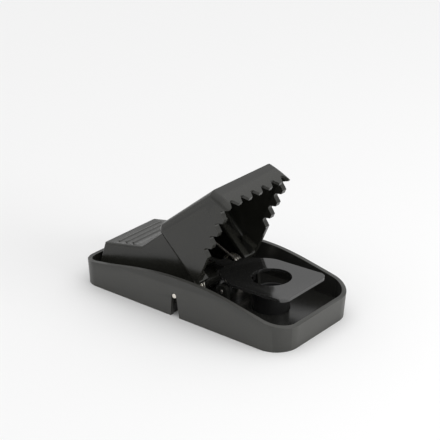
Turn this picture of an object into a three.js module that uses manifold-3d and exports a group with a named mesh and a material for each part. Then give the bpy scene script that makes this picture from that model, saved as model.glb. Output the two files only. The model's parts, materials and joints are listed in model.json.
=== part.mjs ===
// Snap mouse trap with a moulded jaw, shown set. Millimetres, +X to the bait end, +Z up,
// origin at the centre of the tray's bottom edge.
import * as THREE from 'three';
import { mergeVertices } from 'three/addons/utils/BufferGeometryUtils.js';
import Module from 'manifold-3d';

const wasm = await Module();
wasm.setup();

// ---- Driving sizes --------------------------------------------------------------------
const degrees = Math.PI / 180;

// Tray
const TRAY_LENGTH = 98;
const TRAY_WIDTH = 47;
const FRONT_CORNER = 9.85;
const REAR_CORNER = 6.7;
const DRAFT = 3.8 * degrees;
const TRAY_WALL = 1.75;
const FLOOR_TOP = 4.4;
const FLOOR_THICKNESS = 1.8;
const RIM_END_HEIGHT = 9.7;
const RIM_CREST_HEIGHT = 17;
const NOTCH_WIDTH = 4.4;
const NOTCH_PAD = 1;
const NOTCH_PAD_HALF = 3.6;
const NOTCH_PAD_RISE = 3;
const CROSS_RIB = 1.2;
const CROSS_RIB_LIFT = 0.3;

// Axle and jaw
const AXLE_RADIUS = 1;
const AXLE_X = -1.2;
const AXLE_Z = 9.1;
const OPEN_ANGLE = 66.5 * degrees;
const HUB_RADIUS = 3.5;
const HOOD_SIDE_GAP = 2.45; // between the hood and the tray's wall, at the tray's foot
const HOOD_WIDTH = TRAY_WIDTH - 2 * (TRAY_WALL + HOOD_SIDE_GAP);
const HOOD_WALL = 1.6;
const HOOD_FRONT_WALL = 1.2;
const HOOD_FILLET = 2.8;
const HOOD_CREST_RADIUS = HOOD_FILLET + 0.3;
const HOOD_CREST_X = 15.3;
const HOOD_CREST_HEIGHT = 21.7;
const HOOD_TOP_SLOPE = -0.51;
const HOOD_REAR_SLOPE = 0.361;
const HOOD_FRONT_RADIUS = 46.4;
const HOOD_FRONT_STEPS = 5; // each longer than the fillet moves a corner
const HOOD_WINDOW_JAMB = 7.8;
const HOOD_WINDOW_LINTEL = 3.5;
const MOUTH_HEIGHT = 5;
const FRONT_TOOTH_PITCH = 6.2;
const SIDE_TOOTH_PITCH = 6.3;
const TOOTH_DEPTH = 2.6;
const TOOTH_BAND = 0.7;
const FRONT_GULLETS = 6;
const SIDE_GULLETS = 4;
const LEVER_WIDTH = HOOD_WIDTH - 7.6;
const LEVER_FLARE = 0.22;
const LEVER_WALL = 1.6;
const LEVER_FILLET = 1;
const LEVER_LIFT = 2.1;
const PEDAL_LENGTH = 43.2;
const PEDAL_HEIGHT = 15.6;
const RAMP_FOOT_X = -25.1;
const RAMP_FOOT_Z = 19.4;
const RAMP_ANGLE = 40.5 * degrees;
const RAMP_LENGTH = 20;
const GRIP_RIBS = 3;
const GRIP_PITCH = 3.7;
const GRIP_WIDTH = LEVER_WIDTH - 6;
const GRIP_RADIUS = 0.75;
const GRIP_RISE = 0.25;
const GRIP_START = 5.5;
const CATCH_RADIUS = 5.8;
const CATCH_THICKNESS = 2.4;

// Trigger
const TRIGGER_X = 11;
const TRIGGER_Z = 9.5;
const TRIGGER_PIN_RADIUS = 0.8;
const TRIGGER_TILT = 1.8 * degrees;
const PLATE_FRONT = 43.2;
const PLATE_REAR = 7;
const PLATE_SIDE_GAP = 2.9; // between the plate and the bands that the side teeth are cut in
const PLATE_WIDTH = HOOD_WIDTH - 2 * (HOOD_WALL + TOOTH_BAND + PLATE_SIDE_GAP);
const PLATE_NECK_WIDTH = 16;
const PLATE_SHOULDER = 19.5;
const PLATE_THICKNESS = 1.2;
const PLATE_TOP = 16.3;
const PLATE_CORNER = 3.6;
const PLATE_HOLE_MARGIN = 0.8;
const EAR_THICKNESS = 1.9;
const EAR_GAP = 13.2;
const POST_THICKNESS = 1.8;
const POST_HEIGHT = 12;
const POST_HALF = 2.4;
const TRIGGER_ARM_WIDTH = 6;
const EAR_ROUND = 2.3;

// Bait cup
const CUP_X = 26.9;
const CUP_RADIUS = 7;
const PLATE_HOLE_RADIUS = CUP_RADIUS + PLATE_HOLE_MARGIN;
const CUP_WALL = 1;
const CUP_TOP = 11.3;
const CUP_FLANGE = 1.5;
const CUP_FLANGE_THICKNESS = 1.4;

// Springs
const WIRE_RADIUS = 0.5;
const COIL_RADIUS = 4.1;
const COIL_INNER_END = HOOD_WIDTH / 2 - 8.7;
const COIL_PITCH = 1.35;
const COIL_TURNS = 4;
const JAW_LEG_ANGLE = 67 * degrees;
const BASE_LEG_ANGLE = 268 * degrees;
const SPRING_LEG = 21.5;
const BASE_LEG = 15;

// Clearances
const RUNNING = 0.1;
const GAP = 0.3;
const OVERCUT = 5;

// ---- Solids ---------------------------------------------------------------------------
// A manifold solid from a closed three.js geometry.
function solid(geometry) {
  const bare = geometry.clone();
  for (const name of ['normal', 'uv', 'uv1', 'color']) bare.deleteAttribute(name);
  const merged = mergeVertices(bare, 1e-4);
  const mesh = new wasm.Mesh({
    numProp: 3,
    vertProperties: new Float32Array(merged.attributes.position.array),
    triVerts: new Uint32Array(merged.index.array),
  });
  mesh.merge();
  return new wasm.Manifold(mesh);
}

function geometryOf(body) {
  const mesh = body.getMesh();
  const geometry = new THREE.BufferGeometry();
  geometry.setAttribute('position', new THREE.BufferAttribute(mesh.vertProperties, 3));
  geometry.setIndex(new THREE.BufferAttribute(mesh.triVerts, 1));
  return geometry;
}

function unite(...bodies) {
  return bodies.reduce((whole, body) => whole.add(body));
}

function cut(body, ...cutters) {
  return cutters.reduce((whole, cutter) => whole.subtract(cutter), body);
}

function box(x0, x1, y0, y1, z0, z1) {
  const geometry = new THREE.BoxGeometry(x1 - x0, y1 - y0, z1 - z0);
  geometry.translate((x0 + x1) / 2, (y0 + y1) / 2, (z0 + z1) / 2);
  return solid(geometry);
}

// A shape drawn in plan and raised from z0 to z1.
function raised(shape, z0, z1, curveSegments = 8) {
  const geometry = new THREE.ExtrudeGeometry(shape, { depth: z1 - z0, bevelEnabled: false, curveSegments });
  geometry.translate(0, 0, z0);
  return geometry;
}

// An outline drawn in side view, across from y0 to y1, its end edges rounded by fillet.
function across(points, y0, y1, fillet = 0) {
  const geometry = new THREE.ExtrudeGeometry(new THREE.Shape(points), {
    depth: y1 - y0 - 2 * fillet,
    bevelEnabled: fillet > 0,
    bevelThickness: fillet,
    bevelSize: fillet,
    bevelOffset: -fillet,
    bevelSegments: 5,
  });
  geometry.rotateX(Math.PI / 2);
  geometry.translate(0, y1 - fillet, 0);
  return geometry;
}

function plate(points, y0, y1) {
  return solid(across(points, y0, y1));
}

// A round bar along Y.
function bar(x, z, radius, y0, y1, segments = 24) {
  const geometry = new THREE.CylinderGeometry(radius, radius, y1 - y0, segments);
  geometry.translate(x, (y0 + y1) / 2, z);
  return solid(geometry);
}

function upright(x, radius, z0, z1, segments = 40) {
  const geometry = new THREE.CylinderGeometry(radius, radius, z1 - z0, segments);
  geometry.rotateX(Math.PI / 2);
  geometry.translate(x, 0, (z0 + z1) / 2);
  return solid(geometry);
}

function ordered(a, b) {
  return [Math.min(a, b), Math.max(a, b)];
}

function points(...pairs) {
  return pairs.map(([x, z]) => new THREE.Vector2(x, z));
}

// The arc that rounds the corner between two straight stretches, in six steps.
function rounded(before, corner, after, radius) {
  const first = before.clone().sub(corner).normalize();
  const second = after.clone().sub(corner).normalize();
  const half = Math.acos(first.dot(second)) / 2;
  const middle = first.clone().add(second).normalize();
  const centre = corner.clone().addScaledVector(middle, radius / Math.sin(half));
  const sweep = (Math.PI / 2 - half) * Math.sign(second.cross(first));
  const arc = [];
  const steps = 6;
  for (let i = 0; i <= steps; i += 1) {
    const turn = sweep * (2 * i / steps - 1);
    const outward = middle.clone().rotateAround(new THREE.Vector2(), turn);
    arc.push(centre.clone().addScaledVector(outward, -radius));
  }
  return arc;
}

// A convex anticlockwise outline moved inwards by a distance.
function inset(outline, distance) {
  const count = outline.length;
  const lines = outline.map((point, i) => {
    const along = outline[(i + 1) % count].clone().sub(point).normalize();
    const inward = new THREE.Vector2(-along.y, along.x);
    return { start: point.clone().addScaledVector(inward, distance), along };
  });
  return lines.map((line, i) => {
    const before = lines[(i + count - 1) % count];
    const sine = before.along.cross(line.along);
    const offset = line.start.clone().sub(before.start);
    return before.start.clone().addScaledVector(before.along, offset.cross(line.along) / sine);
  });
}

// ---- Tray -----------------------------------------------------------------------------
const halfLength = TRAY_LENGTH / 2;
const halfWidth = TRAY_WIDTH / 2;
const widening = Math.tan(DRAFT);

function trayOutline(reduce) {
  const shape = new THREE.Shape();
  const x = halfLength - reduce;
  const y = halfWidth - reduce;
  const front = FRONT_CORNER - reduce;
  const rear = REAR_CORNER - reduce;
  shape.absarc(x - front, y - front, front, 0, Math.PI / 2);
  shape.absarc(-x + rear, y - rear, rear, Math.PI / 2, Math.PI);
  shape.absarc(-x + rear, -y + rear, rear, Math.PI, 1.5 * Math.PI);
  shape.absarc(x - front, -y + front, front, 1.5 * Math.PI, 2 * Math.PI);
  return shape;
}

// The tray's outline raised with walls that lean outwards by the draft angle.
function drafted(reduce, z0, z1) {
  const geometry = raised(trayOutline(reduce), z0, z1, 10);
  const position = geometry.attributes.position;
  for (let i = 0; i < position.count; i += 1) {
    const x = position.getX(i);
    const y = position.getY(i);
    const corner = x > 0 ? FRONT_CORNER : REAR_CORNER;
    const radius = corner - reduce;
    const centreX = halfLength - corner;
    const centreY = halfWidth - corner;
    const grow = (radius + widening * position.getZ(i)) / radius;
    const outX = Math.max(Math.abs(x) - centreX, 0);
    const outY = Math.max(Math.abs(y) - centreY, 0);
    position.setX(i, Math.sign(x) * (Math.min(Math.abs(x), centreX) + outX * grow));
    position.setY(i, Math.sign(y) * (Math.min(Math.abs(y), centreY) + outY * grow));
  }
  return solid(geometry);
}

// The side view of the tray's rim: a long arch, low at both ends.
function rimOutline() {
  const arch = [[-1, 0], [-0.71, 0.31], [-0.41, 0.7], [-0.1, 0.955], [0.2, 0.985], [0.41, 0.85],
    [0.61, 0.61], [0.82, 0.32], [1, 0]];
  const rise = RIM_CREST_HEIGHT - RIM_END_HEIGHT;
  const knots = points(...arch.map(([along, share]) => [along * halfLength, RIM_END_HEIGHT + share * rise]));
  const top = new THREE.SplineCurve(knots).getPoints(32);
  const end = halfLength + OVERCUT;
  return [...points([end, -OVERCUT], [end, RIM_END_HEIGHT]), ...top.reverse(),
    ...points([-end, RIM_END_HEIGHT], [-end, -OVERCUT])];
}

// The slot that the axle is pushed up into, open at the tray's bottom edge.
function notchOutline() {
  const radius = AXLE_RADIUS + RUNNING;
  const outline = points([AXLE_X - NOTCH_WIDTH / 2, -1], [AXLE_X + NOTCH_WIDTH / 2, -1]);
  const steps = 8;
  for (let i = 0; i <= steps; i += 1) {
    const turn = Math.PI * i / steps;
    outline.push(new THREE.Vector2(AXLE_X + radius * Math.cos(turn), AXLE_Z + radius * Math.sin(turn)));
  }
  return outline;
}

const coilTurn = JAW_LEG_ANGLE + (COIL_TURNS - 1) * 2 * Math.PI - BASE_LEG_ANGLE;
const coilOuterEnd = COIL_INNER_END + coilTurn / (2 * Math.PI) * COIL_PITCH;
const postInner = EAR_GAP / 2 + EAR_THICKNESS + GAP;
const floorBottom = FLOOR_TOP - FLOOR_THICKNESS;

function trayBody() {
  const top = RIM_CREST_HEIGHT + OVERCUT;
  const inner = TRAY_WALL;
  const shell = cut(drafted(0, 0, top), drafted(inner, FLOOR_TOP, top + 1), drafted(inner, -1, floorBottom));
  let body = shell.intersect(plate(rimOutline(), -halfWidth - OVERCUT, halfWidth + OVERCUT));
  const innerWall = halfWidth - TRAY_WALL + widening * AXLE_Z;
  for (const side of [-1, 1]) {
    const pad = ordered(side * (innerWall - NOTCH_PAD), side * (innerWall + TRAY_WALL / 2));
    const rear = AXLE_X - NOTCH_PAD_HALF;
    const front = AXLE_X + NOTCH_PAD_HALF;
    body = body.add(box(rear, front, ...pad, floorBottom, AXLE_Z + NOTCH_PAD_RISE));
    const post = ordered(side * postInner, side * (postInner + POST_THICKNESS));
    body = body.add(plate(postOutline(), post[0], post[1]));
  }
  body = body.subtract(upright(CUP_X, CUP_RADIUS + GAP, -1, RIM_CREST_HEIGHT));
  body = body.subtract(plate(notchOutline(), -halfWidth - OVERCUT, halfWidth + OVERCUT));
  const postOuter = postInner + POST_THICKNESS;
  const pinBore = TRIGGER_PIN_RADIUS + RUNNING;
  body = body.subtract(bar(TRIGGER_X, TRIGGER_Z, pinBore, -postOuter - GAP, postOuter + GAP));
  return unite(cut(body, ...floorWindows()), ...crossRibs());
}

// The two ribs under the floor, one on each side of the axle's slot.
function crossRibs() {
  const inner = halfWidth - TRAY_WALL / 2;
  return [-1, 1].map((side) => {
    const near = AXLE_X + side * NOTCH_WIDTH / 2;
    return box(...ordered(near, near + side * CROSS_RIB), -inner, inner, CROSS_RIB_LIFT, floorBottom + GAP);
  });
}

// The posts that carry the trigger's pin: broad at the floor, with clipped top corners.
function postOutline() {
  const clip = 1;
  const rear = TRIGGER_X - POST_HALF;
  const front = TRIGGER_X + POST_HALF;
  return points([rear - clip, floorBottom], [front + clip, floorBottom], [front, POST_HEIGHT - clip],
    [front - clip, POST_HEIGHT], [rear + clip, POST_HEIGHT], [rear, POST_HEIGHT - clip]);
}

// The openings in the floor under the two spring coils.
function floorWindows() {
  const reach = COIL_RADIUS + WIRE_RADIUS + GAP;
  const inner = COIL_INNER_END - WIRE_RADIUS - 2 * GAP;
  const outer = coilOuterEnd + WIRE_RADIUS + 2 * GAP;
  return [-1, 1].map((side) => box(AXLE_X - reach, AXLE_X + reach, ...ordered(side * inner, side * outer),
    floorBottom - 1, FLOOR_TOP + 1));
}

// ---- Jaw ------------------------------------------------------------------------------
// The hood is drawn closed, its mouth level, about the axle; the lever is drawn as it lies
// when the trap is set, and both are joined in the closed pose.
const mouth = MOUTH_HEIGHT - AXLE_Z;
const hoodHalf = HOOD_WIDTH / 2;
const crest = new THREE.Vector2(HOOD_CREST_X, HOOD_CREST_HEIGHT);
const rearX = (height) => crest.x + (height - crest.y) * HOOD_REAR_SLOPE;

// The outline runs below the mouth, so that the fillet round its foot is cut away there.
function hoodOutline() {
  const depth = mouth - HOOD_FILLET - 2;
  const rearFoot = new THREE.Vector2(rearX(depth), depth);
  const alongTop = new THREE.Vector2(crest.x + 1, crest.y + HOOD_TOP_SLOPE);
  const outline = [...rounded(alongTop, crest, rearFoot, HOOD_CREST_RADIUS), rearFoot];
  const steps = HOOD_FRONT_STEPS;
  const low = Math.asin(depth / HOOD_FRONT_RADIUS);
  const high = frontTopAngle();
  for (let i = 0; i <= steps; i += 1) {
    const turn = low + (high - low) * i / steps;
    outline.push(new THREE.Vector2(HOOD_FRONT_RADIUS * Math.cos(turn), HOOD_FRONT_RADIUS * Math.sin(turn)));
  }
  return outline;
}

// Where the sloping top meets the front, which is an arc about the axle.
function frontTopAngle() {
  const level = crest.y - HOOD_TOP_SLOPE * crest.x;
  const a = 1 + HOOD_TOP_SLOPE * HOOD_TOP_SLOPE;
  const b = 2 * HOOD_TOP_SLOPE * level;
  const c = level * level - HOOD_FRONT_RADIUS * HOOD_FRONT_RADIUS;
  const x = (-b + Math.sqrt(b * b - 4 * a * c)) / (2 * a);
  return Math.atan2(HOOD_TOP_SLOPE * x + level, x);
}

// One gap between two teeth: a V with a round root, as an outline along any row.
function gulletOutline(centre, pitch) {
  const half = pitch * 0.36;
  const root = pitch * 0.15;
  const rootHalf = pitch * 0.195;
  const below = 3;
  const lean = (half - rootHalf) / TOOTH_DEPTH * below;
  const outline = points([centre - half - lean, mouth - below], [centre + half + lean, mouth - below]);
  outline.push(new THREE.Vector2(centre + half, mouth));
  const steps = 5;
  for (let i = 0; i <= steps; i += 1) {
    const turn = Math.PI * i / steps;
    const height = mouth + TOOTH_DEPTH - root + root * Math.sin(turn);
    outline.push(new THREE.Vector2(centre + rootHalf * Math.cos(turn), height));
  }
  outline.push(new THREE.Vector2(centre - half, mouth));
  return outline;
}

const mouthFront = Math.sqrt(HOOD_FRONT_RADIUS ** 2 - mouth ** 2);
const firstSideGullet = mouthFront - SIDE_TOOTH_PITCH * 0.6;

function sideGullets() {
  const cutters = [];
  for (let i = 0; i < SIDE_GULLETS; i += 1) {
    const outline = gulletOutline(firstSideGullet - i * SIDE_TOOTH_PITCH, SIDE_TOOTH_PITCH);
    cutters.push(plate(outline, -hoodHalf - 1, hoodHalf + 1));
  }
  return cutters;
}

function frontGullets() {
  const cutters = [];
  for (let i = 0; i < FRONT_GULLETS; i += 1) {
    const outline = gulletOutline((i - (FRONT_GULLETS - 1) / 2) * FRONT_TOOTH_PITCH, FRONT_TOOTH_PITCH);
    const geometry = across(outline, -HOOD_FRONT_RADIUS - 2, -HOOD_FRONT_RADIUS + 6);
    geometry.rotateZ(Math.PI / 2);
    cutters.push(solid(geometry));
  }
  return cutters;
}

// The thicker band inside each side wall that the side teeth are cut in.
function toothBands() {
  const outer = hoodHalf - HOOD_WALL / 2;
  const inner = hoodHalf - HOOD_WALL - TOOTH_BAND;
  const rear = firstSideGullet - (SIDE_GULLETS - 0.5) * SIDE_TOOTH_PITCH;
  const front = mouthFront - HOOD_WALL;
  const top = mouth + TOOTH_DEPTH + TOOTH_BAND;
  const outline = points([rear, mouth - 1], [front, mouth - 1], [front, top], [rear + 1, top]);
  return [plate(outline, inner, outer), plate(outline, -outer, -inner)];
}

function hood() {
  const outline = hoodOutline();
  const inside = inset(outline, HOOD_FRONT_WALL);
  const shell = cut(
    solid(across(outline, -hoodHalf, hoodHalf, HOOD_FILLET)),
    solid(across(inside, -hoodHalf + HOOD_WALL, hoodHalf - HOOD_WALL, HOOD_FILLET - HOOD_WALL)),
  );
  const windowHalf = hoodHalf - HOOD_WINDOW_JAMB;
  const windowTop = crest.y - HOOD_WINDOW_LINTEL;
  const window = box(0, crest.x + 1, -windowHalf, windowHalf, mouth - 2 * OVERCUT, windowTop);
  const open = cut(shell, window);
  return cut(unite(open, ...toothBands()), belowMouth(), ...sideGullets(), ...frontGullets());
}

// Everything in front of the hubs and below the mouth of the closed jaw.
function belowMouth() {
  const side = hoodHalf + OVERCUT;
  return box(-HUB_RADIUS, HOOD_FRONT_RADIUS + OVERCUT, -side, side, mouth - 4 * OVERCUT, mouth);
}

// A point of the set trap's side view, turned to the closed jaw's frame about the axle.
function closed(point) {
  const x = point.x - AXLE_X;
  const z = point.y - AXLE_Z;
  const cosine = Math.cos(OPEN_ANGLE);
  const sine = Math.sin(OPEN_ANGLE);
  return new THREE.Vector2(x * cosine + z * sine, -x * sine + z * cosine);
}

const pedalRearX = AXLE_X - PEDAL_LENGTH;
const pedalLean = 1.3;
const leverBottom = FLOOR_TOP + LEVER_LIFT;
const rampTopX = RAMP_FOOT_X + RAMP_LENGTH * Math.cos(RAMP_ANGLE);
const rampTopZ = RAMP_FOOT_Z + RAMP_LENGTH * Math.sin(RAMP_ANGLE);

function leverOutline() {
  const nose = 5.5;
  return points([pedalRearX, PEDAL_HEIGHT], [pedalRearX - pedalLean, leverBottom], [AXLE_X + 1, leverBottom],
    [AXLE_X + 2.5, AXLE_Z + 3], [rampTopX + nose, rampTopZ - nose], [rampTopX, rampTopZ],
    [RAMP_FOOT_X, RAMP_FOOT_Z]);
}

// The lever's side walls lean outwards below the pedal's top.
function flared(geometry) {
  const position = geometry.attributes.position;
  for (let i = 0; i < position.count; i += 1) {
    const below = Math.max(PEDAL_HEIGHT - position.getZ(i), 0);
    const y = position.getY(i);
    position.setY(i, y + Math.sign(y) * below * LEVER_FLARE);
  }
  return geometry;
}

function turnedClosed(geometry) {
  geometry.translate(-AXLE_X, 0, -AXLE_Z);
  geometry.rotateY(OPEN_ANGLE);
  return solid(geometry);
}

function lever() {
  const half = LEVER_WIDTH / 2;
  const outer = turnedClosed(flared(across(leverOutline(), -half, half, LEVER_FILLET)));
  const drop = LEVER_WALL / Math.cos(RAMP_ANGLE);
  const rear = pedalRearX + LEVER_WALL;
  const front = AXLE_X + 3 * OVERCUT;
  const bottom = leverBottom - OVERCUT;
  const past = 3;
  const channel = points([rear, PEDAL_HEIGHT - LEVER_WALL + GAP], [rear - pedalLean, bottom], [front, bottom],
    [front, rampTopZ], [rampTopX + past, rampTopZ + past * Math.tan(RAMP_ANGLE) - drop],
    [RAMP_FOOT_X + GAP, RAMP_FOOT_Z - LEVER_WALL]);
  const inner = turnedClosed(flared(across(channel, -half + LEVER_WALL, half - LEVER_WALL)));
  return cut(outer, inner);
}

function gripRibs() {
  const slope = Math.atan2(RAMP_FOOT_Z - PEDAL_HEIGHT, RAMP_FOOT_X - pedalRearX);
  const ribs = [];
  for (let i = 0; i < GRIP_RIBS; i += 1) {
    const along = GRIP_START + i * GRIP_PITCH;
    const height = PEDAL_HEIGHT + along * Math.sin(slope) + GRIP_RISE - GRIP_RADIUS;
    const geometry = new THREE.CylinderGeometry(GRIP_RADIUS, GRIP_RADIUS, GRIP_WIDTH, 12);
    geometry.translate(pedalRearX + along * Math.cos(slope), 0, height);
    ribs.push(turnedClosed(geometry));
  }
  return ribs;
}

// The arms that carry the hood's sides down to the hubs on the axle.
function hubs() {
  const innerFace = coilOuterEnd + WIRE_RADIUS + GAP;
  const outerFace = hoodHalf - HOOD_WALL / 2;
  const arm = points([-2, -HUB_RADIUS], [rearX(mouth) + 5, mouth + GAP], [rearX(0) + 4, 3],
    [rearX(0) + 1.5, 0], [0, HUB_RADIUS]);
  const bodies = [];
  for (const side of [-1, 1]) {
    const span = ordered(side * innerFace, side * outerFace);
    bodies.push(bar(0, 0, HUB_RADIUS, ...span), plate(arm, ...span));
  }
  return bodies;
}

// The centre rib, its hub and the catch that the trigger holds.
function catchRib() {
  const half = CATCH_THICKNESS / 2;
  const ribSet = points([AXLE_X - 2, AXLE_Z - 2], [AXLE_X, AXLE_Z + 3], [RAMP_FOOT_X + 4, RAMP_FOOT_Z + 2],
    [RAMP_FOOT_X, RAMP_FOOT_Z - 1], [RAMP_FOOT_X - 6, RAMP_FOOT_Z - 2.4]).map(closed);
  const onCatch = (x) => [x, Math.sqrt(CATCH_RADIUS ** 2 - x ** 2)];
  const tip = points([-1, 2], [1.8, 2], onCatch(2.9), onCatch(1.4), [-1.5, 4.4]);
  const finger = across(tip, -half, half);
  finger.rotateY(OPEN_ANGLE);
  const hubHalf = COIL_INNER_END - WIRE_RADIUS - 2 * GAP;
  const hub = bar(0, 0, HUB_RADIUS, -hubHalf, hubHalf);
  return [plate(ribSet, -half, half), hub, solid(finger)];
}

function jawBody() {
  const whole = unite(hood(), lever(), ...gripRibs(), ...hubs(), ...catchRib());
  return cut(whole, belowMouth(), bar(0, 0, AXLE_RADIUS + RUNNING, -hoodHalf - OVERCUT, hoodHalf + OVERCUT));
}

// ---- Trigger --------------------------------------------------------------------------
function plateOutline() {
  const half = PLATE_WIDTH / 2;
  const neck = PLATE_NECK_WIDTH / 2;
  const chamfer = 1.2;
  const control = PLATE_SHOULDER - 3.5;
  const shape = new THREE.Shape();
  shape.moveTo(PLATE_REAR, -neck + chamfer);
  shape.lineTo(PLATE_REAR + chamfer, -neck);
  shape.quadraticCurveTo(control, -half, PLATE_SHOULDER, -half);
  shape.absarc(PLATE_FRONT - PLATE_CORNER, -half + PLATE_CORNER, PLATE_CORNER, -Math.PI / 2, 0);
  shape.absarc(PLATE_FRONT - PLATE_CORNER, half - PLATE_CORNER, PLATE_CORNER, 0, Math.PI / 2);
  shape.lineTo(PLATE_SHOULDER, half);
  shape.quadraticCurveTo(control, half, PLATE_REAR + chamfer, neck);
  shape.lineTo(PLATE_REAR, neck - chamfer);
  const hole = new THREE.Path();
  hole.absarc(CUP_X, 0, PLATE_HOLE_RADIUS, 0, 2 * Math.PI, true);
  shape.holes.push(hole);
  return shape;
}

// One of the two ears that hang from the plate on the pin.
function earOutline(top) {
  const low = TRIGGER_Z - EAR_ROUND;
  const clip = 0.9;
  return points([TRIGGER_X - 2, low + clip], [TRIGGER_X - clip, low], [TRIGGER_X + clip, low],
    [TRIGGER_X + 2, low + clip], [TRIGGER_X + 2.8, top], [TRIGGER_X - 2.8, top]);
}

// The arm behind the plate, with the lip that rests in front of the jaw's catch.
function armOutline(bottom) {
  const reach = 4.4;
  const rear = AXLE_X + reach;
  const front = PLATE_REAR + 4;
  const low = AXLE_Z + Math.sqrt((CATCH_RADIUS + 2 * GAP) ** 2 - reach ** 2);
  const top = PLATE_TOP - 0.1;
  return points([rear - 1.6, bottom], [rear, bottom - 0.2], [rear, low], [rear + 1.2, low],
    [rear + 2, bottom - 0.4], [front, bottom], [front, top], [rear - 1.6, top]);
}

function triggerBody() {
  const bottom = PLATE_TOP - PLATE_THICKNESS;
  let body = solid(raised(plateOutline(), bottom, PLATE_TOP, 12));
  for (const side of [-1, 1]) {
    const span = ordered(side * EAR_GAP / 2, side * (EAR_GAP / 2 + EAR_THICKNESS));
    body = body.add(plate(earOutline(bottom + PLATE_THICKNESS / 3), ...span));
  }
  body = body.add(plate(armOutline(bottom), -TRIGGER_ARM_WIDTH / 2, TRIGGER_ARM_WIDTH / 2));
  return body.subtract(bar(TRIGGER_X, TRIGGER_Z, TRIGGER_PIN_RADIUS + RUNNING, -EAR_GAP, EAR_GAP));
}

// ---- Bait cup -------------------------------------------------------------------------
function cupGeometry() {
  const bottom = floorBottom - GAP - CUP_FLANGE_THICKNESS;
  const floor = bottom + CUP_FLANGE_THICKNESS;
  const flange = CUP_RADIUS + CUP_FLANGE;
  const inside = CUP_RADIUS - CUP_WALL;
  const chamfer = CUP_WALL * 0.3;
  const profile = points([0, bottom], [flange, bottom], [flange, floor], [CUP_RADIUS, floor],
    [CUP_RADIUS, CUP_TOP - chamfer], [CUP_RADIUS - chamfer, CUP_TOP], [inside, CUP_TOP],
    [inside, floor], [0, floor]);
  const geometry = new THREE.LatheGeometry(profile, 40);
  geometry.rotateX(Math.PI / 2);
  geometry.translate(CUP_X, 0, 0);
  return geometryOf(solid(geometry));
}

// ---- Springs --------------------------------------------------------------------------
// One torsion spring: a leg along the floor, the coil about the axle, a leg under the ramp.
function springGeometry(side) {
  const path = [];
  const jawAngle = BASE_LEG_ANGLE + coilTurn;
  const place = (turn, y) => new THREE.Vector3(
    AXLE_X + COIL_RADIUS * Math.cos(turn), side * y, AXLE_Z + COIL_RADIUS * Math.sin(turn));
  const onLeg = (turn, y, distance) => place(turn, y).add(
    new THREE.Vector3(-Math.sin(turn) * distance, 0, Math.cos(turn) * distance));
  for (const share of [1, 0.6, 0.2]) path.push(onLeg(BASE_LEG_ANGLE, coilOuterEnd, -share * BASE_LEG));
  const steps = COIL_TURNS * 12;
  for (let i = 0; i <= steps; i += 1) {
    const share = i / steps;
    path.push(place(BASE_LEG_ANGLE + coilTurn * share, coilOuterEnd + (COIL_INNER_END - coilOuterEnd) * share));
  }
  for (const share of [0.2, 0.6, 1]) path.push(onLeg(jawAngle, COIL_INNER_END, share * SPRING_LEG));
  const section = new THREE.Shape();
  section.absarc(0, 0, WIRE_RADIUS, 0, 2 * Math.PI);
  const curve = new THREE.CatmullRomCurve3(path, false, 'centripetal');
  return new THREE.ExtrudeGeometry(section, { steps: 96, extrudePath: curve, curveSegments: 4 });
}

// ---- Assembly -------------------------------------------------------------------------
function material(color, roughness, metalness = 0) {
  return new THREE.MeshStandardMaterial({ color, roughness, metalness });
}

function piece(name, geometry, finish) {
  const mesh = new THREE.Mesh(geometry, finish);
  mesh.name = name;
  return mesh;
}

const trap = new THREE.Group();
trap.add(piece('base_tray', geometryOf(trayBody()), material(0x4a4a48, 0.5)));

const axleHalf = halfWidth + widening * AXLE_Z;
trap.add(piece('jaw_axle', geometryOf(bar(AXLE_X, AXLE_Z, AXLE_RADIUS, -axleHalf, axleHalf)),
  material(0xcdcdc8, 0.25, 1)));

const jaw = new THREE.Group();
jaw.position.set(AXLE_X, 0, AXLE_Z);
jaw.rotation.y = -OPEN_ANGLE;
jaw.add(piece('jaw', geometryOf(jawBody()), material(0x464644, 0.45)));
trap.add(jaw);

const trigger = new THREE.Group();
trigger.position.set(TRIGGER_X, 0, TRIGGER_Z);
trigger.rotation.y = -TRIGGER_TILT;
const triggerGeometry = geometryOf(triggerBody());
triggerGeometry.translate(-TRIGGER_X, 0, -TRIGGER_Z);
trigger.add(piece('trigger_plate', triggerGeometry, material(0x1a1a1a, 0.12)));
trap.add(trigger);

const pinHalf = postInner + POST_THICKNESS;
trap.add(piece('trigger_pin', geometryOf(bar(TRIGGER_X, TRIGGER_Z, TRIGGER_PIN_RADIUS, -pinHalf, pinHalf)),
  material(0xbdbdb8, 0.3, 1)));
trap.add(piece('bait_cup', cupGeometry(), material(0x1c1c1c, 0.4)));
trap.add(piece('spring_near', springGeometry(-1), material(0xc8beaf, 0.3, 1)));
trap.add(piece('spring_far', springGeometry(1), material(0xc8beaf, 0.3, 1)));

export default trap;
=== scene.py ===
"""Snap mouse trap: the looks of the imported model, laid out as an add-on and run as a script."""

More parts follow.
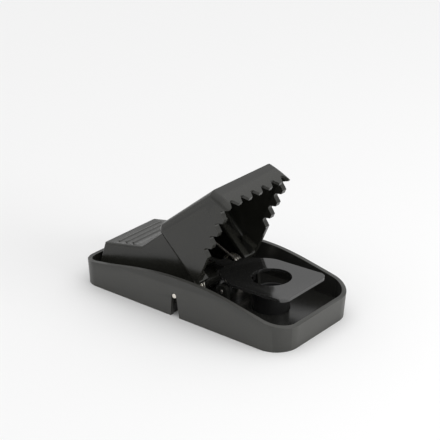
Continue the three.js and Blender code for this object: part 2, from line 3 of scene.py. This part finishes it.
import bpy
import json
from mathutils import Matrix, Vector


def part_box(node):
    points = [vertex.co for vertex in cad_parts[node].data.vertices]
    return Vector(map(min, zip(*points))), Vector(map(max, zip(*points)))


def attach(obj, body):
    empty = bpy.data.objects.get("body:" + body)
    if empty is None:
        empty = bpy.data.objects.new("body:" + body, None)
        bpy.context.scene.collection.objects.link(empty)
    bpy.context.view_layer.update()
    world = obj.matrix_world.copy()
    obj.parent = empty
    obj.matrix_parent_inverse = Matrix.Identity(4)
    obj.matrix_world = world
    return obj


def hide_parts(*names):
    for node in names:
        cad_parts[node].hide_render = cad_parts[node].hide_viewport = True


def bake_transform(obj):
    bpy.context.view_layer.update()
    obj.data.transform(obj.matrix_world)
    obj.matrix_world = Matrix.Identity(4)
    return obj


bl_info = {
    "name": "Snap mouse trap",
    "version": (1, 0, 0),
    "blender": (4, 5, 0),
    "location": "3D View > Sidebar > Mouse Trap",
    "description": "Builds a moulded snap mouse trap piece by piece around its packed model",
    "category": "Add Mesh",
}

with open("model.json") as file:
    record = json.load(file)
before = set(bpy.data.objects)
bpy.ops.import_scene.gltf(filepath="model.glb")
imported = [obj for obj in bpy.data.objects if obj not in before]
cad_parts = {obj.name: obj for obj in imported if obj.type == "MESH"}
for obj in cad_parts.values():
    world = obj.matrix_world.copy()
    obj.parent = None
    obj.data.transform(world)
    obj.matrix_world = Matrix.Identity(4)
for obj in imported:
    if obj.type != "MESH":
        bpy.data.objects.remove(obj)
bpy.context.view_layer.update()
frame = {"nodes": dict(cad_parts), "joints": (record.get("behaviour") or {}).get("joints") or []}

import json
from math import cos, pi, radians, sin

import bmesh
import bpy
from bpy.props import FloatProperty, FloatVectorProperty, IntProperty, PointerProperty
from mathutils import Matrix, Vector

MM = 0.001
AXLE = Vector(next(j for j in frame["joints"] if j["name"] == "jaw_swing")["pos_m"])

# Springs: where the coil leaves for each leg, and the whole turns between them
FLOOR_LEG_ANGLE = radians(268.0)
JAW_LEG_ANGLE = radians(67.0)
WHOLE_TURNS = 3
LEG_STEPS = 10
WIRE_SIDES = 16
CAP_STEPS = 4
CAP_REACH = 0.6  # how far a wire's rounded end stands out, in radii
CAP_TIP = 0.02  # smallest ring of a rounded end, in radii
BAR_SIDES = 40

# Meshes: what counts as one point, one flat face, a sharp edge and an upright side
MERGE_DISTANCE = 2e-6
FLAT_ANGLE = radians(0.7)
SHARP_ANGLE = radians(38.0)
BAR_SHARP_ANGLE = radians(30.0)
UPRIGHT_SIDE = 0.95
BEVEL_SEGMENTS = 3

# Plastics: refraction and depth of the moulded grain
PLASTIC_IOR = 1.5
TRAY_GRAIN = 0.022 * MM
JAW_GRAIN = 0.02 * MM
CUP_GRAIN = 0.012 * MM

# Tray: how far in from the outer face its wall turns from the outside finish to the inside finish, which is
# glossier and carries painted shade
OUTER_SKIN = 1.1 * MM
INNER_SKIN = 1.5 * MM
RIM_CLEARANCE = 0.4 * MM

# Studio
FLOOR_REACH = 6.0
FLOOR_DROP = 0.02 * MM
HORIZON_BAND = (sin(radians(20.0)), sin(radians(50.0)))
SOFTBOX_SIZE = (0.5, 0.25)
SOFTBOX_PLACE = Vector((0.62, 0.12, 0.17))
SOFTBOX_AIM = Vector((0.02, 0.0, 0.01))


# ---- Sizes and colours a user would change ---------------------------------------------
class TrapSizes(bpy.types.PropertyGroup):
    """The tray's outline, the edge radii and the wire sizes, in metres."""

    tray_length: FloatProperty(
        name="Tray length", description="Length of the tray at its foot", default=98 * MM, unit="LENGTH")
    tray_width: FloatProperty(
        name="Tray width", description="Width of the tray at its foot", default=47 * MM, unit="LENGTH")
    tray_corner: FloatProperty(
        name="Tray corner", description="Radius of the tray's corners", default=8 * MM, unit="LENGTH")
    tray_draft: FloatProperty(
        name="Tray draft", description="How far the walls lean outwards",
        default=radians(3.8), subtype="ANGLE")
    tray_floor: FloatProperty(
        name="Tray floor", description="Height of the tray's floor", default=4.4 * MM, unit="LENGTH")
    tray_edge: FloatProperty(
        name="Tray edge", description="Radius of the tray's moulded edges", default=0.32 * MM, unit="LENGTH")
    jaw_edge: FloatProperty(
        name="Jaw edge", description="Radius of the jaw's moulded edges", default=0.26 * MM, unit="LENGTH")
    plate_edge: FloatProperty(
        name="Plate edge", description="Radius of the trigger plate's edges", default=0.3 * MM, unit="LENGTH")
    cup_edge: FloatProperty(
        name="Cup edge", description="Radius of the bait cup's edges", default=0.15 * MM, unit="LENGTH")
    wire_radius: FloatProperty(
        name="Spring wire", description="Radius of the spring wire", default=0.5 * MM, unit="LENGTH")
    coil_radius: FloatProperty(
        name="Coil radius", description="Radius to the middle of the spring's wire",
        default=4.1 * MM, unit="LENGTH")
    coil_inner_end: FloatProperty(
        name="Coil inner end", description="How far from the middle the coil's inner turn lies",
        default=10.6 * MM, unit="LENGTH")
    coil_pitch: FloatProperty(
        name="Coil pitch", description="Step from one turn to the next", default=1.35 * MM, unit="LENGTH")
    base_leg: FloatProperty(
        name="Floor leg", description="Length of the spring's leg along the floor",
        default=15 * MM, unit="LENGTH")
    jaw_leg: FloatProperty(
        name="Jaw leg", description="Length of the spring's leg under the ramp",
        default=21.5 * MM, unit="LENGTH")
    wire_steps: IntProperty(
        name="Steps a turn", description="Segments in each turn of the wire", default=56)


class TrapFinishes(bpy.types.PropertyGroup):
    """Colours and gloss of the mouldings and the steel."""

    tray_black: FloatVectorProperty(
        name="Tray", description="Colour of the tray's plastic", subtype="COLOR", size=3,
        default=(0.031, 0.031, 0.028))
    jaw_black: FloatVectorProperty(
        name="Jaw", description="Colour of the jaw's plastic", subtype="COLOR", size=3,
        default=(0.0135, 0.0135, 0.0112))
    plate_black: FloatVectorProperty(
        name="Plate", description="Colour of the trigger plate's plastic", subtype="COLOR", size=3,
        default=(0.014, 0.014, 0.0135))
    cup_black: FloatVectorProperty(
        name="Cup", description="Colour of the bait cup's plastic", subtype="COLOR", size=3,
        default=(0.009, 0.009, 0.009))
    wire_steel: FloatVectorProperty(
        name="Wire", description="Colour of the drawn steel", subtype="COLOR", size=3,
        default=(0.82, 0.78, 0.71))
    tray_roughness: FloatProperty(
        name="Tray roughness", description="How matt the tray is", default=0.5, min=0.0, max=1.0)
    jaw_roughness: FloatProperty(
        name="Jaw roughness", description="How matt the jaw is", default=0.34, min=0.0, max=1.0)
    plate_roughness: FloatProperty(
        name="Plate roughness", description="How matt the trigger plate is", default=0.1, min=0.0, max=1.0)
    plate_specular: FloatProperty(
        name="Plate gloss", description="How strongly the trigger plate mirrors",
        default=0.95, min=0.0, max=1.0)
    cup_roughness: FloatProperty(
        name="Cup roughness", description="How matt the bait cup is", default=0.42, min=0.0, max=1.0)


class TrapStage(bpy.types.PropertyGroup):
    """Where the camera stands and how the studio is lit."""

    azimuth: FloatProperty(
        name="Azimuth", description="Camera's turn from the near long side towards the bait end",
        default=radians(38.15), subtype="ANGLE")
    elevation: FloatProperty(
        name="Elevation", description="Camera's height as an angle", default=radians(23.979), subtype="ANGLE")
    distance: FloatProperty(
        name="Distance", description="Camera to target", default=0.60434, unit="LENGTH")
    roll: FloatProperty(name="Roll", description="Camera's roll", default=radians(0.661), subtype="ANGLE")
    target: FloatVectorProperty(
        name="Target", description="The point that the camera looks at", subtype="TRANSLATION", size=3,
        default=(-0.023557, 0.032092, 0.015))
    lens: FloatProperty(name="Lens", description="Focal length in millimetres", default=119.81)
    room: FloatProperty(
        name="Room light", description="Strength of the room's light from above", default=1.14)
    horizon: FloatProperty(
        name="Horizon", description="Strength of the room's light near the horizon", default=0.6)
    front_light: FloatProperty(
        name="Front light", description="Power of the soft light off the bait end, in watts", default=2.1)
    floor: FloatVectorProperty(
        name="Floor", description="Colour of the floor", subtype="COLOR", size=3, default=(0.89, 0.89, 0.89))


def sizes():
    return bpy.context.scene.trap_sizes


def finishes():
    return bpy.context.scene.trap_finishes


# ---- Shader maths ----------------------------------------------------------------------
class Field:
    """A value that varies over a surface: wraps an output socket, and adds Math nodes."""

    def __init__(self, shading, socket):
        self.shading = shading
        self.socket = socket

    def _math(self, operation, first, second=None):
        values = {0: first}
        if second is not None:
            values[1] = second
        return self.shading.add("ShaderNodeMath", {"operation": operation}, values)

    def __add__(self, other):
        return self._math("ADD", self, other)

    def __sub__(self, other):
        return self._math("SUBTRACT", self, other)

    def __mul__(self, other):
        return self._math("MULTIPLY", self, other)

    def __rsub__(self, other):
        return self._math("SUBTRACT", other, self)

    def __pow__(self, other):
        return self._math("POWER", self, other)

    def __gt__(self, other):
        return self._math("GREATER_THAN", self, other)

    def __abs__(self):
        return self._math("ABSOLUTE", self)

    def over(self, low):
        return self._math("MAXIMUM", self - low, 0.0)

    __radd__ = __add__
    __rmul__ = __mul__

    def clamped(self):
        return self.shading.add("ShaderNodeClamp", {}, {"Value": self})


class Shading:
    """One material's node tree, with its Principled shader."""

    def __init__(self, name, colour, roughness, metallic=0.0):
        self.material = bpy.data.materials.new(name)
        self.material.use_nodes = True
        self.tree = self.material.node_tree
        self.shader = self.tree.nodes["Principled BSDF"]
        self.shader.inputs["Base Color"].default_value = (*colour, 1.0)
        self.shader.inputs["Roughness"].default_value = roughness
        self.shader.inputs["Metallic"].default_value = metallic
        coordinates = self.tree.nodes.new("ShaderNodeTexCoord")
        self.place = Field(self, coordinates.outputs["Object"])

    def add(self, kind, settings, values, output=0):
        node = self.tree.nodes.new(kind)
        for key, value in settings.items():
            setattr(node, key, value)
        for key, value in values.items():
            self._feed(node.inputs[key], value)
        return Field(self, node.outputs[output])

    def _feed(self, socket, value):
        if isinstance(value, Field):
            self.tree.links.new(value.socket, socket)
        else:
            socket.default_value = value

    def axes(self, field):
        node = self.tree.nodes.new("ShaderNodeSeparateXYZ")
        self._feed(node.inputs[0], field)
        return [Field(self, output) for output in node.outputs]

    def noise(self, scale, detail=2.0, roughness=0.5, place=None):
        return self.add("ShaderNodeTexNoise", {"noise_dimensions": "3D"}, {
            "Vector": place or self.place, "Scale": scale, "Detail": detail, "Roughness": roughness})

    def stretched(self, scale, turn=(0.0, 0.0, 0.0)):
        return self.add("ShaderNodeMapping", {}, {"Vector": self.place, "Scale": scale, "Rotation": turn})

    def stepped(self, field, low, high, to_low=0.0, to_high=1.0):
        return self.add("ShaderNodeMapRange", {"interpolation_type": "SMOOTHSTEP"}, {
            "Value": field, "From Min": low, "From Max": high, "To Min": to_low, "To Max": to_high})

    def mixed(self, factor, first, second):
        node = self.tree.nodes.new("ShaderNodeMix")
        node.data_type = "RGBA"
        for socket, value in ((node.inputs[0], factor), (node.inputs[6], first), (node.inputs[7], second)):
            self._feed(socket, value)
        return Field(self, node.outputs[2])

    def worn_edges(self, low, high):
        """Bright where the surface turns sharply outwards."""
        pointiness = self.add("ShaderNodeNewGeometry", {}, {}, "Pointiness")
        return self.stepped(pointiness, low, high)

    def finish(self, colour=None, roughness=None, bumps=()):
        if colour is not None:
            self._feed(self.shader.inputs["Base Color"], colour)
        if roughness is not None:
            self._feed(self.shader.inputs["Roughness"], roughness)
        normal = None
        for height, strength, distance in bumps:
            values = {"Height": height, "Strength": strength, "Distance": distance}
            if normal is not None:
                values["Normal"] = normal
            normal = self.add("ShaderNodeBump", {}, values)
        if normal is not None:
            self._feed(self.shader.inputs["Normal"], normal)
        return self.material


def tinted(colour, share):
    return tuple(min(1.0, channel * share) for channel in colour) + (1.0,)


# ---- Finishes --------------------------------------------------------------------------
def inside_tray(shading):
    """1 on the tray's inner faces, 0 on its outer faces and its rim; these inner faces get painted shade and
    a glossier finish.
    """
    size = sizes()
    x, y, z = shading.axes(shading.place)
    facing = shading.axes(shading.add("ShaderNodeNewGeometry", {}, {}, "Normal"))
    corner = size.tray_corner
    lean = z * sin(size.tray_draft)
    beyond_x = (abs(x) - lean).over(size.tray_length / 2 - corner)
    beyond_y = (abs(y) - lean).over(size.tray_width / 2 - corner)
    reach = (beyond_x ** 2.0 + beyond_y ** 2.0) ** 0.5
    within = shading.stepped(reach, corner - OUTER_SKIN, corner - INNER_SKIN)
    level = shading.stepped(facing[2], 0.6, 0.9)
    high = z > size.tray_floor + RIM_CLEARANCE
    return within * (1.0 - level * high)


def moulded_black(name, colour, roughness, grain, inside=None):
    """Satin moulded plastic: spark-eroded grain, faint flow marks, rubbed edges, fine scuffs and dust; where
    an inside mask is given, the faces it marks get painted shade and a glossier, smoother finish.
    """
    shading = Shading(name, colour, roughness)
    shading.shader.inputs["IOR"].default_value = PLASTIC_IOR
    grain_coarse = shading.noise(2600.0, 3.0, 0.62)
    grain_fine = shading.noise(7800.0, 2.0, 0.5)
    flow = shading.noise(0.9, 3.0, 0.55, shading.stretched((42.0, 95.0, 95.0)))
    cloud = shading.noise(70.0, 3.0, 0.5)
    scuffs = shading.noise(1.0, 4.0, 0.7, shading.stretched((240.0, 3300.0, 3300.0), (0.3, 0.2, 0.55)))
    scuff = shading.stepped(scuffs, 0.66, 0.74)
    specks = shading.stepped(shading.noise(5200.0, 1.0, 0.4), 0.735, 0.76)
    rubbed = shading.worn_edges(0.515, 0.56)
    tone = (0.72 * cloud + 0.28 * flow).clamped()
    shade = shading.mixed(shading.stepped(tone, 0.3, 0.7), tinted(colour, 0.86), tinted(colour, 1.14))
    shade = shading.mixed(rubbed * 0.55, shade, tinted(colour, 1.7))
    shade = shading.mixed(scuff * 0.22, shade, tinted(colour, 2.2))
    shade = shading.mixed(specks * 0.5, shade, tinted(colour, 3.2))
    matt = roughness + 0.1 * (cloud - 0.5) + 0.07 * (flow - 0.5) + 0.06 * (grain_coarse - 0.5)
    matt = matt - 0.1 * rubbed + 0.06 * scuff
    if inside:
        inner_shade_and_gloss = inside(shading)
        # Painted shade: the inner faces are darkened to 0.7 of the colour to stand for the shade inside the
        # tray; they are also made glossier and smoother
        shade = shading.mixed(inner_shade_and_gloss, shade, tinted(colour, 0.7))
        matt = matt * (1.0 - 0.55 * inner_shade_and_gloss)
        grain_coarse = grain_coarse * (1.0 - 0.85 * inner_shade_and_gloss)
        grain_fine = grain_fine * (1.0 - 0.85 * inner_shade_and_gloss)
    return shading.finish(shade, matt.clamped(), (
        (grain_coarse, 0.32, grain), (grain_fine, 0.22, grain * 0.5), (flow, 0.1, 0.05 * MM)))


def polished_black(name, colour, roughness, specular):
    """Polished moulded plastic with hairline scratches, faint smears, dust and a faint ripple."""
    shading = Shading(name, colour, roughness)
    shading.shader.inputs["IOR"].default_value = PLASTIC_IOR
    shading.shader.inputs["Specular IOR Level"].default_value = specular
    smear = shading.noise(55.0, 4.0, 0.6)
    hair_a = shading.noise(1.0, 3.0, 0.7, shading.stretched((160.0, 5200.0, 900.0), (0.0, 0.0, 0.35)))
    hair_b = shading.noise(1.0, 3.0, 0.7, shading.stretched((4700.0, 190.0, 900.0), (0.0, 0.0, -0.2)))
    hairs = (shading.stepped(hair_a, 0.7, 0.78) + shading.stepped(hair_b, 0.72, 0.8)).clamped()
    dust = shading.stepped(shading.noise(4200.0, 1.0, 0.4), 0.74, 0.765)
    ripple = shading.noise(120.0, 2.0, 0.5)
    rubbed = shading.worn_edges(0.52, 0.57)
    shade = shading.mixed(hairs * 0.3, tinted(colour, 1.0), tinted(colour, 3.0))
    shade = shading.mixed(dust * 0.5, shade, tinted(colour, 9.0))
    shade = shading.mixed(rubbed * 0.4, shade, tinted(colour, 2.4))
    matt = roughness + 0.09 * (smear - 0.45) + 0.12 * hairs + 0.25 * dust
    return shading.finish(shade, matt.clamped(), ((ripple, 0.06, 0.04 * MM), (hairs, 0.08, 0.01 * MM)))


def drawn_steel(name, colour, along):
    """Bright wire with drawing lines along it, a little tarnish and oil."""
    shading = Shading(name, colour, 0.26, 1.0)
    scale = tuple(120.0 if axis == along else 5200.0 for axis in range(3))
    lines = shading.noise(1.0, 3.0, 0.6, shading.stretched(scale))
    tarnish = shading.stepped(shading.noise(420.0, 4.0, 0.6), 0.45, 0.75)
    shade = shading.mixed(tarnish * 0.5, tinted(colour, 1.05), tinted(colour, 0.55))
    matt = 0.2 + 0.16 * lines + 0.18 * tarnish
    return shading.finish(shade, matt.clamped(), ((lines, 0.12, 0.02 * MM),))


# ---- Meshes ----------------------------------------------------------------------------
def link_piece(name, mesh, material, body=None, node=None):
    obj = bpy.data.objects.new(name, mesh)
    bpy.context.scene.collection.objects.link(obj)
    obj.data.materials.append(material)
    if body:
        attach(obj, body)
    if node:
        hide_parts(node)
    return obj


def refined(node, name, material, body, edge, joined=True):
    """A node's solid with smooth curves and rounded edges. Joined coplanar faces shade most evenly, but a
    face with raised details inside it has to stay in triangles: not joined, only the upright sides are."""
    mesh = frame["nodes"][node].data.copy()
    mesh.materials.clear()
    build = bmesh.new()
    build.from_mesh(mesh)
    bmesh.ops.remove_doubles(build, verts=build.verts, dist=MERGE_DISTANCE)
    bmesh.ops.dissolve_degenerate(build, edges=build.edges, dist=MERGE_DISTANCE)
    flat = [line for line in build.edges
            if joined or all(abs(face.normal.y) > UPRIGHT_SIDE for face in line.link_faces)]
    corners = build.verts if joined else []
    bmesh.ops.dissolve_limit(
        build, angle_limit=FLAT_ANGLE, verts=corners, edges=flat, use_dissolve_boundaries=False)
    for face in build.faces:
        face.smooth = True
    for edge_line in build.edges:
        edge_line.smooth = not edge_line.is_manifold or edge_line.calc_face_angle(0.0) < SHARP_ANGLE
    build.to_mesh(mesh)
    build.free()
    obj = link_piece(name, mesh, material, body, node)
    bevel = obj.modifiers.new("Rounded edges", "BEVEL")
    bevel.width = edge
    bevel.segments = BEVEL_SEGMENTS
    bevel.limit_method = "ANGLE"
    bevel.angle_limit = SHARP_ANGLE
    bevel.miter_outer = "MITER_ARC"
    bevel.use_clamp_overlap = True
    bevel.loop_slide = False
    normals = obj.modifiers.new("Flat faces stay flat", "WEIGHTED_NORMAL")
    normals.mode = "FACE_AREA"
    normals.weight = 90
    normals.keep_sharp = True
    return obj


def turned_bar(name, half, radius, chamfer, x, z, material, body, node):
    """A round bar along Y with chamfered, slightly dished ends."""
    end = [(half - chamfer, radius), (half, radius - chamfer),
           (half - 0.12 * chamfer, radius * 0.45), (half - 0.3 * chamfer, 0.0)]
    profile = [(-y, r) for y, r in reversed(end)] + end
    build = bmesh.new()
    rings = []
    for y, r in profile:
        if r == 0.0:
            rings.append([build.verts.new((x, y, z))])
            continue
        turns = [2 * pi * i / BAR_SIDES for i in range(BAR_SIDES)]
        rings.append([build.verts.new((x + r * cos(turn), y, z + r * sin(turn))) for turn in turns])
    for first, second in zip(rings, rings[1:]):
        for i in range(BAR_SIDES):
            corners = [first[i % len(first)], second[i % len(second)],
                       second[(i + 1) % len(second)], first[(i + 1) % len(first)]]
            build.faces.new(list(dict.fromkeys(corners)))
    bmesh.ops.recalc_face_normals(build, faces=build.faces)
    for face in build.faces:
        face.smooth = True
    mesh = bpy.data.meshes.new(name)
    build.to_mesh(mesh)
    build.free()
    mesh.set_sharp_from_angle(angle=BAR_SHARP_ANGLE)
    return link_piece(name, mesh, material, body, node)


def tube(name, path, radius, material, node):
    """A wire along a path of points, with rounded ends."""
    build = bmesh.new()
    rings = []
    count = len(path)
    normal = Vector((0.0, 1.0, 0.0))
    stations = []
    for i, point in enumerate(path):
        ahead = path[min(i + 1, count - 1)]
        behind = path[max(i - 1, 0)]
        stations.append((point, (ahead - behind).normalized(), radius))
    first, last = stations[0], stations[-1]
    bends = [pi / 2 * (k + 1) / CAP_STEPS for k in range(CAP_STEPS)]
    caps = [(radius * sin(bend) * CAP_REACH, radius * max(cos(bend), CAP_TIP)) for bend in bends]
    front = [(first[0] - first[1] * out, first[1], reach) for out, reach in reversed(caps)]
    back = [(last[0] + last[1] * out, last[1], reach) for out, reach in caps]
    for point, tangent, reach in front + stations + back:
        normal = (normal - tangent * normal.dot(tangent)).normalized()
        binormal = tangent.cross(normal)
        turns = [2 * pi * i / WIRE_SIDES for i in range(WIRE_SIDES)]
        rings.append([build.verts.new(point + normal * reach * cos(turn) + binormal * reach * sin(turn))
                      for turn in turns])
    for a, b in zip(rings, rings[1:]):
        for i in range(WIRE_SIDES):
            after = (i + 1) % WIRE_SIDES
            build.faces.new((a[i], a[after], b[after], b[i]))
    build.faces.new(rings[0][::-1])
    build.faces.new(rings[-1])
    bmesh.ops.recalc_face_normals(build, faces=build.faces)
    for face in build.faces:
        face.smooth = True
    mesh = bpy.data.meshes.new(name)
    build.to_mesh(mesh)
    build.free()
    return link_piece(name, mesh, material, None, node)


def spring_path(side):
    """The route of one torsion spring: floor leg, coil about the axle, leg under the ramp."""
    size = sizes()
    jaw_turn = JAW_LEG_ANGLE + WHOLE_TURNS * 2 * pi
    wound = jaw_turn - FLOOR_LEG_ANGLE
    outer = size.coil_inner_end + wound / (2 * pi) * size.coil_pitch

    def place(turn, y):
        around = Vector((cos(turn), 0.0, sin(turn))) * size.coil_radius
        return Vector((AXLE.x, side * y, AXLE.z)) + around

    def leg(turn, y, distance):
        return place(turn, y) + Vector((-sin(turn), 0.0, cos(turn))) * distance

    path = [leg(FLOOR_LEG_ANGLE, outer, -size.base_leg * (1 - k / LEG_STEPS)) for k in range(LEG_STEPS)]
    steps = round(size.wire_steps * wound / (2 * pi))
    for i in range(steps + 1):
        share = i / steps
        path.append(place(FLOOR_LEG_ANGLE + wound * share, outer + (size.coil_inner_end - outer) * share))
    path += [leg(jaw_turn, size.coil_inner_end, size.jaw_leg * (k + 1) / LEG_STEPS) for k in range(LEG_STEPS)]
    return path


# ---- Operators: one for each piece or group of like pieces -----------------------------
class TRAP_OT_tray(bpy.types.Operator):
    """Build the tray"""

    bl_idname = "trap.tray"
    bl_label = "Tray"

    def execute(self, context):
        look = finishes()
        material = moulded_black(
            "Tray plastic", look.tray_black, look.tray_roughness, TRAY_GRAIN, inside_tray)
        refined("base_tray", "tray_moulding", material, "base", sizes().tray_edge)
        return {"FINISHED"}


class TRAP_OT_jaw(bpy.types.Operator):
    """Build the toothed jaw with its pedal"""

    bl_idname = "trap.jaw"
    bl_label = "Jaw"

    def execute(self, context):
        look = finishes()
        material = moulded_black("Jaw plastic", look.jaw_black, look.jaw_roughness, JAW_GRAIN)
        refined("jaw", "jaw_moulding", material, "jaw", sizes().jaw_edge, joined=False)
        return {"FINISHED"}


class TRAP_OT_trigger(bpy.types.Operator):
    """Build the trigger plate"""

    bl_idname = "trap.trigger"
    bl_label = "Trigger plate"

    def execute(self, context):
        look = finishes()
        material = polished_black(
            "Plate plastic", look.plate_black, look.plate_roughness, look.plate_specular)
        refined("trigger_plate", "trigger_plate_moulding", material, "trigger",
                sizes().plate_edge)
        return {"FINISHED"}


class TRAP_OT_cup(bpy.types.Operator):
    """Build the bait cup"""

    bl_idname = "trap.cup"
    bl_label = "Bait cup"

    def execute(self, context):
        look = finishes()
        material = moulded_black("Cup plastic", look.cup_black, look.cup_roughness, CUP_GRAIN)
        refined("bait_cup", "bait_cup_moulding", material, "cup", sizes().cup_edge)
        return {"FINISHED"}


class TRAP_OT_wires(bpy.types.Operator):
    """Build the jaw's axle and the trigger's pin"""

    bl_idname = "trap.wires"
    bl_label = "Axle and pin"

    def execute(self, context):
        material = drawn_steel("Axle steel", finishes().wire_steel, 1)
        for node, name in (("jaw_axle", "jaw_axle_wire"), ("trigger_pin", "trigger_pin_wire")):
            low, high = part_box(node)
            radius = (high.z - low.z) / 2
            turned_bar(name, (high.y - low.y) / 2, radius, 0.2 * radius, (low.x + high.x) / 2,
                       (low.z + high.z) / 2, material, "base", node)
        return {"FINISHED"}


class TRAP_OT_springs(bpy.types.Operator):
    """Build the two torsion springs"""

    bl_idname = "trap.springs"
    bl_label = "Torsion springs"

    def execute(self, context):
        size = sizes()
        material = drawn_steel("Spring steel", finishes().wire_steel, 0)
        for side, node in ((-1, "spring_near"), (1, "spring_far")):
            path = spring_path(side)
            wire = tube(node + "_wire", path, size.wire_radius, material, node)
            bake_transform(wire)
        return {"FINISHED"}


class TRAP_OT_stage(bpy.types.Operator):
    """Set the floor, the light and the camera"""

    bl_idname = "trap.stage"
    bl_label = "Stage"

    def execute(self, context):
        self.floor(context)
        self.light(context)
        self.camera(context)
        return {"FINISHED"}

    def floor(self, context):
        stage = context.scene.trap_stage
        mesh = bpy.data.meshes.new("floor")
        corners = [(x * FLOOR_REACH, y * FLOOR_REACH, 0) for x, y in ((-1, -1), (1, -1), (1, 1), (-1, 1))]
        mesh.from_pydata(corners, [], [(0, 1, 2, 3)])
        floor = bpy.data.objects.new("floor", mesh)
        floor.location.z = -FLOOR_DROP
        context.scene.collection.objects.link(floor)
        shading = Shading("Floor paint", stage.floor, 0.9)
        shading.shader.inputs["Specular IOR Level"].default_value = 0.0
        mesh.materials.append(shading.material)

    def light(self, context):
        stage = context.scene.trap_stage
        world = bpy.data.worlds.new("Studio room")
        context.scene.world = world
        world.use_nodes = True
        background = world.node_tree.nodes["Background"]
        background.inputs["Color"].default_value = (1.0, 1.0, 1.0, 1.0)
        nodes, links = world.node_tree.nodes, world.node_tree.links
        direction = nodes.new("ShaderNodeTexCoord")
        axes = nodes.new("ShaderNodeSeparateXYZ")
        rise = nodes.new("ShaderNodeMapRange")
        rise.interpolation_type = "SMOOTHSTEP"
        links.new(direction.outputs["Generated"], axes.inputs[0])
        links.new(axes.outputs["Z"], rise.inputs["Value"])
        links.new(rise.outputs["Result"], background.inputs["Strength"])
        limits = (*HORIZON_BAND, stage.horizon, stage.room)
        for key, value in zip(("From Min", "From Max", "To Min", "To Max"), limits):
            rise.inputs[key].default_value = value
        context.scene.view_settings.view_transform = "Standard"
        data = bpy.data.lights.new("Front softbox", "AREA")
        data.shape = "RECTANGLE"
        data.size, data.size_y = SOFTBOX_SIZE
        data.energy = stage.front_light
        lamp = bpy.data.objects.new("Front softbox", data)
        lamp.location = SOFTBOX_PLACE
        lamp.rotation_euler = (SOFTBOX_AIM - SOFTBOX_PLACE).to_track_quat("-Z", "Y").to_euler()
        context.scene.collection.objects.link(lamp)

    def camera(self, context):
        stage = context.scene.trap_stage
        azimuth, elevation = stage.azimuth, stage.elevation
        back = Vector((sin(azimuth) * cos(elevation), -cos(azimuth) * cos(elevation), sin(elevation)))
        level = Vector((cos(azimuth), sin(azimuth), 0.0))
        upright = back.cross(level)
        right = level * cos(stage.roll) + upright * sin(stage.roll)
        up = upright * cos(stage.roll) - level * sin(stage.roll)
        data = bpy.data.cameras.new("Camera")
        data.lens = stage.lens
        data.clip_start = 0.01
        camera = bpy.data.objects.new("Camera", data)
        camera.matrix_world = Matrix.Translation(Vector(stage.target) + back * stage.distance) @ Matrix(
            (right, up, back)).transposed().to_4x4()
        context.scene.collection.objects.link(camera)
        context.scene.camera = camera


class TRAP_PT_panel(bpy.types.Panel):
    """Lists the trap's pieces in the sidebar"""

    bl_idname = "TRAP_PT_panel"
    bl_label = "Mouse Trap"
    bl_space_type = "VIEW_3D"
    bl_region_type = "UI"
    bl_category = "Mouse Trap"

    def draw(self, context):
        for operator in OPERATORS:
            self.layout.operator(operator.bl_idname)
        for group in (context.scene.trap_sizes, context.scene.trap_finishes, context.scene.trap_stage):
            column = self.layout.column()
            for key in group.bl_rna.properties.keys():
                if key not in {"name", "rna_type"}:
                    column.prop(group, key)


OPERATORS = (TRAP_OT_stage, TRAP_OT_tray, TRAP_OT_jaw, TRAP_OT_trigger, TRAP_OT_cup, TRAP_OT_wires,
             TRAP_OT_springs)
GROUPS = (("trap_sizes", TrapSizes), ("trap_finishes", TrapFinishes), ("trap_stage", TrapStage))


def register():
    for name, group in GROUPS:
        bpy.utils.register_class(group)
        setattr(bpy.types.Scene, name, PointerProperty(type=group))
    for cls in (*OPERATORS, TRAP_PT_panel):
        bpy.utils.register_class(cls)


def unregister():
    for cls in (TRAP_PT_panel, *reversed(OPERATORS)):
        bpy.utils.unregister_class(cls)
    for name, group in reversed(GROUPS):
        delattr(bpy.types.Scene, name)
        bpy.utils.unregister_class(group)


def main():
    register()
    for operator in OPERATORS:
        family, verb = operator.bl_idname.split(".")
        getattr(getattr(bpy.ops, family), verb)()


if __name__ == "__main__":
    main()
